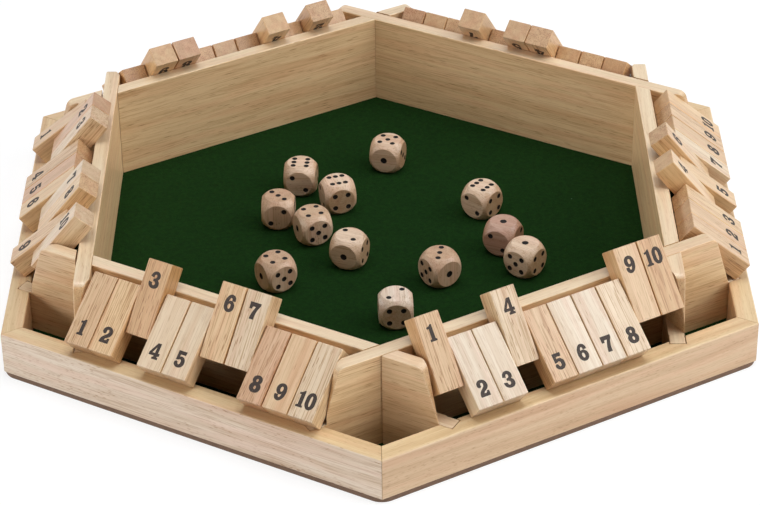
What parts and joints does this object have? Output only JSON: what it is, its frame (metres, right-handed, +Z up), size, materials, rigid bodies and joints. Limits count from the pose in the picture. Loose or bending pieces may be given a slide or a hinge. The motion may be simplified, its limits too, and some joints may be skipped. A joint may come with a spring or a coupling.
{
  "type": "shut the box game",
  "caption": "Six-sided wooden shut the box game: a felted dice tray ringed by rows of numbered tiles that flip on rods, inside a low rail, with loose wooden dice.",
  "frame": {"origin": "middle of the underside of the base board", "axes": "+Z up; two corners of the six-sided frame lie on the Y axis and two of its sides face +X and -X; a player on the -Y side looks along +Y, and the numbers of each row run to that player's right"},
  "size_m": [0.3432, 0.3962, 0.0641],
  "materials": {
    "dark_board": "dark brown stained board, matt",
    "green_felt": "dark green felt",
    "pale_rail": "pale rubberwood, satin lacquer",
    "pale_wall": "pale rubberwood, satin lacquer",
    "tile_wood": "pale rubberwood, satin, dark printed numbers",
    "number_ink": "dark brown ink printed on the wood, matt; the tile numbers and the dice pips",
    "steel_rod": "drawn steel",
    "dice_wood": "fine-grained wood, matt, black pips"
  },
  "bodies": {
    "tray": {"base_board": "dark_board", "felt_mat": "green_felt", "outer_rails": "pale_rail", "long_walls": "pale_wall", "short_walls": "pale_wall", "end_plates": "pale_wall", "pivot_rods": "steel_rod"},
    "dice": {"dice": "dice_wood"},
    "tile_right_1": {"tile_right_1": "tile_wood"},
    "tile_right_2": {"tile_right_2": "tile_wood"},
    "tile_right_3": {"tile_right_3": "tile_wood"},
    "tile_right_4": {"tile_right_4": "tile_wood"},
    "tile_right_5": {"tile_right_5": "tile_wood"},
    "tile_right_6": {"tile_right_6": "tile_wood"},
    "tiles_right_7_8": {"tiles_right_7_8": "tile_wood"},
    "tiles_right_9_10": {"tiles_right_9_10": "tile_wood"},
    "tiles_back_right_1_2": {"tiles_back_right_1_2": "tile_wood"},
    "tile_back_right_3": {"tile_back_right_3": "tile_wood"},
    "tile_back_right_4": {"tile_back_right_4": "tile_wood"},
    "tile_back_right_5": {"tile_back_right_5": "tile_wood"},
    "tile_back_right_6": {"tile_back_right_6": "tile_wood"},
    "tile_back_right_7": {"tile_back_right_7": "tile_wood"},
    "tile_back_right_8": {"tile_back_right_8": "tile_wood"},
    "tiles_back_right_9_10": {"tiles_back_right_9_10": "tile_wood"},
    "tile_back_left_1": {"tile_back_left_1": "tile_wood"},
    "tile_back_left_2": {"tile_back_left_2": "tile_wood"},
    "tile_back_left_3": {"tile_back_left_3": "tile_wood"},
    "tile_back_left_4": {"tile_back_left_4": "tile_wood"},
    "tiles_back_left_5_6": {"tiles_back_left_5_6": "tile_wood"},
    "tile_back_left_7": {"tile_back_left_7": "tile_wood"},
    "tiles_back_left_8_9": {"tiles_back_left_8_9": "tile_wood"},
    "tile_back_left_10": {"tile_back_left_10": "tile_wood"},
    "tile_left_1": {"tile_left_1": "tile_wood"},
    "tiles_left_2_3": {"tiles_left_2_3": "tile_wood"},
    "tile_left_4": {"tile_left_4": "tile_wood"},
    "tile_left_5": {"tile_left_5": "tile_wood"},
    "tile_left_6": {"tile_left_6": "tile_wood"},
    "tiles_left_7_8": {"tiles_left_7_8": "tile_wood"},
    "tile_left_9": {"tile_left_9": "tile_wood"},
    "tile_left_10": {"tile_left_10": "tile_wood"},
    "tile_front_left_1": {"tile_front_left_1": "tile_wood"},
    "tile_front_left_2": {"tile_front_left_2": "tile_wood"},
    "tile_front_left_3": {"tile_front_left_3": "tile_wood"},
    "tile_front_left_4": {"tile_front_left_4": "tile_wood"},
    "tile_front_left_5": {"tile_front_left_5": "tile_wood"},
    "tile_front_left_6": {"tile_front_left_6": "tile_wood"},
    "tile_front_left_7": {"tile_front_left_7": "tile_wood"},
    "tile_front_left_8": {"tile_front_left_8": "tile_wood"},
    "tile_front_left_9": {"tile_front_left_9": "tile_wood"},
    "tile_front_left_10": {"tile_front_left_10": "tile_wood"},
    "tile_front_right_1": {"tile_front_right_1": "tile_wood"},
    "tile_front_right_2": {"tile_front_right_2": "tile_wood"},
    "tile_front_right_3": {"tile_front_right_3": "tile_wood"},
    "tile_front_right_4": {"tile_front_right_4": "tile_wood"},
    "tile_front_right_5": {"tile_front_right_5": "tile_wood"},
    "tile_front_right_6": {"tile_front_right_6": "tile_wood"},
    "tile_front_right_7": {"tile_front_right_7": "tile_wood"},
    "tile_front_right_8": {"tile_front_right_8": "tile_wood"},
    "tile_front_right_9": {"tile_front_right_9": "tile_wood"},
    "tile_front_right_10": {"tile_front_right_10": "tile_wood"}
  },
  "joints": [
    {"name": "flip_right_1", "type": "hinge", "parent": "tray", "child": "tile_right_1", "pos_m": [0.14951, -0.05725, 0.0422], "axis": [0, -1, 0], "range_deg": [0, 167.77]},
    {"name": "flip_right_2", "type": "hinge", "parent": "tray", "child": "tile_right_2", "pos_m": [0.14951, -0.04435, 0.0422], "axis": [0, -1, 0], "range_deg": [0, 167.77]},
    {"name": "flip_right_3", "type": "hinge", "parent": "tray", "child": "tile_right_3", "pos_m": [0.14951, -0.03145, 0.0422], "axis": [0, -1, 0], "range_deg": [0, 167.77]},
    {"name": "flip_right_4", "type": "hinge", "parent": "tray", "child": "tile_right_4", "pos_m": [0.14951, -0.01855, 0.0422], "axis": [0, -1, 0], "range_deg": [-167.77, 0]},
    {"name": "flip_right_5", "type": "hinge", "parent": "tray", "child": "tile_right_5", "pos_m": [0.14951, -0.00565, 0.0422], "axis": [0, -1, 0], "range_deg": [0, 167.77]},
    {"name": "flip_right_6", "type": "hinge", "parent": "tray", "child": "tile_right_6", "pos_m": [0.14951, 0.00725, 0.0422], "axis": [0, -1, 0], "range_deg": [-167.77, 0]},
    {"name": "flip_right_7_8", "type": "hinge", "parent": "tray", "child": "tiles_right_7_8", "pos_m": [0.14951, 0.0266, 0.0422], "axis": [0, -1, 0], "range_deg": [0, 167.77]},
    {"name": "flip_right_9_10", "type": "hinge", "parent": "tray", "child": "tiles_right_9_10", "pos_m": [0.14951, 0.0524, 0.0422], "axis": [0, -1, 0], "range_deg": [0, 167.77]},
    {"name": "flip_back_right_1_2", "type": "hinge", "parent": "tray", "child": "tiles_back_right_1_2", "pos_m": [0.11875, 0.10408, 0.0422], "axis": [0.866, -0.5, 0], "range_deg": [0, 167.77]},
    {"name": "flip_back_right_3", "type": "hinge", "parent": "tray", "child": "tile_back_right_3", "pos_m": [0.10199, 0.11376, 0.0422], "axis": [0.866, -0.5, 0], "range_deg": [0, 167.77]},
    {"name": "flip_back_right_4", "type": "hinge", "parent": "tray", "child": "tile_back_right_4", "pos_m": [0.09082, 0.12021, 0.0422], "axis": [0.866, -0.5, 0], "range_deg": [-167.77, 0]},
    {"name": "flip_back_right_5", "type": "hinge", "parent": "tray", "child": "tile_back_right_5", "pos_m": [0.07965, 0.12666, 0.0422], "axis": [0.866, -0.5, 0], "range_deg": [-167.77, 0]},
    {"name": "flip_back_right_6", "type": "hinge", "parent": "tray", "child": "tile_back_right_6", "pos_m": [0.06848, 0.13311, 0.0422], "axis": [0.866, -0.5, 0], "range_deg": [0, 167.77]},
    {"name": "flip_back_right_7", "type": "hinge", "parent": "tray", "child": "tile_back_right_7", "pos_m": [0.05731, 0.13956, 0.0422], "axis": [0.866, -0.5, 0], "range_deg": [-167.77, 0]},
    {"name": "flip_back_right_8", "type": "hinge", "parent": "tray", "child": "tile_back_right_8", "pos_m": [0.04613, 0.14601, 0.0422], "axis": [0.866, -0.5, 0], "range_deg": [0, 167.77]},
    {"name": "flip_back_right_9_10", "type": "hinge", "parent": "tray", "child": "tiles_back_right_9_10", "pos_m": [0.02938, 0.15568, 0.0422], "axis": [0.866, -0.5, 0], "range_deg": [0, 167.77]},
    {"name": "flip_back_left_1", "type": "hinge", "parent": "tray", "child": "tile_back_left_1", "pos_m": [-0.02518, 0.15811, 0.0422], "axis": [0.866, 0.5, 0], "range_deg": [0, 167.77]},
    {"name": "flip_back_left_2", "type": "hinge", "parent": "tray", "child": "tile_back_left_2", "pos_m": [-0.03635, 0.15166, 0.0422], "axis": [0.866, 0.5, 0], "range_deg": [-167.77, 0]},
    {"name": "flip_back_left_3", "type": "hinge", "parent": "tray", "child": "tile_back_left_3", "pos_m": [-0.04752, 0.14521, 0.0422], "axis": [0.866, 0.5, 0], "range_deg": [0, 167.77]},
    {"name": "flip_back_left_4", "type": "hinge", "parent": "tray", "child": "tile_back_left_4", "pos_m": [-0.05869, 0.13876, 0.0422], "axis": [0.866, 0.5, 0], "range_deg": [-167.77, 0]},
    {"name": "flip_back_left_5_6", "type": "hinge", "parent": "tray", "child": "tiles_back_left_5_6", "pos_m": [-0.07545, 0.12908, 0.0422], "axis": [0.866, 0.5, 0], "range_deg": [0, 167.77]},
    {"name": "flip_back_left_7", "type": "hinge", "parent": "tray", "child": "tile_back_left_7", "pos_m": [-0.09221, 0.11941, 0.0422], "axis": [0.866, 0.5, 0], "range_deg": [0, 167.77]},
    {"name": "flip_back_left_8_9", "type": "hinge", "parent": "tray", "child": "tiles_back_left_8_9", "pos_m": [-0.10896, 0.10973, 0.0422], "axis": [0.866, 0.5, 0], "range_deg": [-167.77, 0]},
    {"name": "flip_back_left_10", "type": "hinge", "parent": "tray", "child": "tile_back_left_10", "pos_m": [-0.12572, 0.10006, 0.0422], "axis": [0.866, 0.5, 0], "range_deg": [0, 167.77]},
    {"name": "flip_left_1", "type": "hinge", "parent": "tray", "child": "tile_left_1", "pos_m": [-0.14951, 0.05725, 0.0422], "axis": [0, 1, 0], "range_deg": [0, 167.77]},
    {"name": "flip_left_2_3", "type": "hinge", "parent": "tray", "child": "tiles_left_2_3", "pos_m": [-0.14951, 0.0379, 0.0422], "axis": [0, 1, 0], "range_deg": [-167.77, 0]},
    {"name": "flip_left_4", "type": "hinge", "parent": "tray", "child": "tile_left_4", "pos_m": [-0.14951, 0.01855, 0.0422], "axis": [0, 1, 0], "range_deg": [0, 167.77]},
    {"name": "flip_left_5", "type": "hinge", "parent": "tray", "child": "tile_left_5", "pos_m": [-0.14951, 0.00565, 0.0422], "axis": [0, 1, 0], "range_deg": [0, 167.77]},
    {"name": "flip_left_6", "type": "hinge", "parent": "tray", "child": "tile_left_6", "pos_m": [-0.14951, -0.00725, 0.0422], "axis": [0, 1, 0], "range_deg": [0, 167.77]},
    {"name": "flip_left_7_8", "type": "hinge", "parent": "tray", "child": "tiles_left_7_8", "pos_m": [-0.14951, -0.0266, 0.0422], "axis": [0, 1, 0], "range_deg": [-167.77, 0]},
    {"name": "flip_left_9", "type": "hinge", "parent": "tray", "child": "tile_left_9", "pos_m": [-0.14951, -0.04595, 0.0422], "axis": [0, 1, 0], "range_deg": [0, 167.77]},
    {"name": "flip_left_10", "type": "hinge", "parent": "tray", "child": "tile_left_10", "pos_m": [-0.14951, -0.05885, 0.0422], "axis": [0, 1, 0], "range_deg": [-167.77, 0]},
    {"name": "flip_front_left_1", "type": "hinge", "parent": "tray", "child": "tile_front_left_1", "pos_m": [-0.12434, -0.10086, 0.0422], "axis": [-0.866, 0.5, 0], "range_deg": [0, 167.77]},
    {"name": "flip_front_left_2", "type": "hinge", "parent": "tray", "child": "tile_front_left_2", "pos_m": [-0.11316, -0.10731, 0.0422], "axis": [-0.866, 0.5, 0], "range_deg": [0, 167.77]},
    {"name": "flip_front_left_3", "type": "hinge", "parent": "tray", "child": "tile_front_left_3", "pos_m": [-0.10199, -0.11376, 0.0422], "axis": [-0.866, 0.5, 0], "range_deg": [-167.77, 0]},
    {"name": "flip_front_left_4", "type": "hinge", "parent": "tray", "child": "tile_front_left_4", "pos_m": [-0.09082, -0.12021, 0.0422], "axis": [-0.866, 0.5, 0], "range_deg": [0, 167.77]},
    {"name": "flip_front_left_5", "type": "hinge", "parent": "tray", "child": "tile_front_left_5", "pos_m": [-0.07965, -0.12666, 0.0422], "axis": [-0.866, 0.5, 0], "range_deg": [0, 167.77]},
    {"name": "flip_front_left_6", "type": "hinge", "parent": "tray", "child": "tile_front_left_6", "pos_m": [-0.06848, -0.13311, 0.0422], "axis": [-0.866, 0.5, 0], "range_deg": [-167.77, 0]},
    {"name": "flip_front_left_7", "type": "hinge", "parent": "tray", "child": "tile_front_left_7", "pos_m": [-0.05731, -0.13956, 0.0422], "axis": [-0.866, 0.5, 0], "range_deg": [-167.77, 0]},
    {"name": "flip_front_left_8", "type": "hinge", "parent": "tray", "child": "tile_front_left_8", "pos_m": [-0.04613, -0.14601, 0.0422], "axis": [-0.866, 0.5, 0], "range_deg": [0, 167.77]},
    {"name": "flip_front_left_9", "type": "hinge", "parent": "tray", "child": "tile_front_left_9", "pos_m": [-0.03496, -0.15246, 0.0422], "axis": [-0.866, 0.5, 0], "range_deg": [0, 167.77]},
    {"name": "flip_front_left_10", "type": "hinge", "parent": "tray", "child": "tile_front_left_10", "pos_m": [-0.02379, -0.15891, 0.0422], "axis": [-0.866, 0.5, 0], "range_deg": [0, 167.77]},
    {"name": "flip_front_right_1", "type": "hinge", "parent": "tray", "child": "tile_front_right_1", "pos_m": [0.02518, -0.15811, 0.0422], "axis": [-0.866, -0.5, 0], "range_deg": [-167.77, 0]},
    {"name": "flip_front_right_2", "type": "hinge", "parent": "tray", "child": "tile_front_right_2", "pos_m": [0.03635, -0.15166, 0.0422], "axis": [-0.866, -0.5, 0], "range_deg": [0, 167.77]},
    {"name": "flip_front_right_3", "type": "hinge", "parent": "tray", "child": "tile_front_right_3", "pos_m": [0.04752, -0.14521, 0.0422], "axis": [-0.866, -0.5, 0], "range_deg": [0, 167.77]},
    {"name": "flip_front_right_4", "type": "hinge", "parent": "tray", "child": "tile_front_right_4", "pos_m": [0.05869, -0.13876, 0.0422], "axis": [-0.866, -0.5, 0], "range_deg": [-167.77, 0]},
    {"name": "flip_front_right_5", "type": "hinge", "parent": "tray", "child": "tile_front_right_5", "pos_m": [0.06986, -0.13231, 0.0422], "axis": [-0.866, -0.5, 0], "range_deg": [0, 167.77]},
    {"name": "flip_front_right_6", "type": "hinge", "parent": "tray", "child": "tile_front_right_6", "pos_m": [0.08103, -0.12586, 0.0422], "axis": [-0.866, -0.5, 0], "range_deg": [0, 167.77]},
    {"name": "flip_front_right_7", "type": "hinge", "parent": "tray", "child": "tile_front_right_7", "pos_m": [0.09221, -0.11941, 0.0422], "axis": [-0.866, -0.5, 0], "range_deg": [0, 167.77]},
    {"name": "flip_front_right_8", "type": "hinge", "parent": "tray", "child": "tile_front_right_8", "pos_m": [0.10338, -0.11296, 0.0422], "axis": [-0.866, -0.5, 0], "range_deg": [0, 167.77]},
    {"name": "flip_front_right_9", "type": "hinge", "parent": "tray", "child": "tile_front_right_9", "pos_m": [0.11455, -0.10651, 0.0422], "axis": [-0.866, -0.5, 0], "range_deg": [-167.77, 0]},
    {"name": "flip_front_right_10", "type": "hinge", "parent": "tray", "child": "tile_front_right_10", "pos_m": [0.12572, -0.10006, 0.0422], "axis": [-0.866, -0.5, 0], "range_deg": [-167.77, 0]},
    {"name": "dice_lift", "type": "slide", "parent": "tray", "child": "dice", "axis": [0, 0, 1], "range_m": [0, 0.06]}
  ]
}
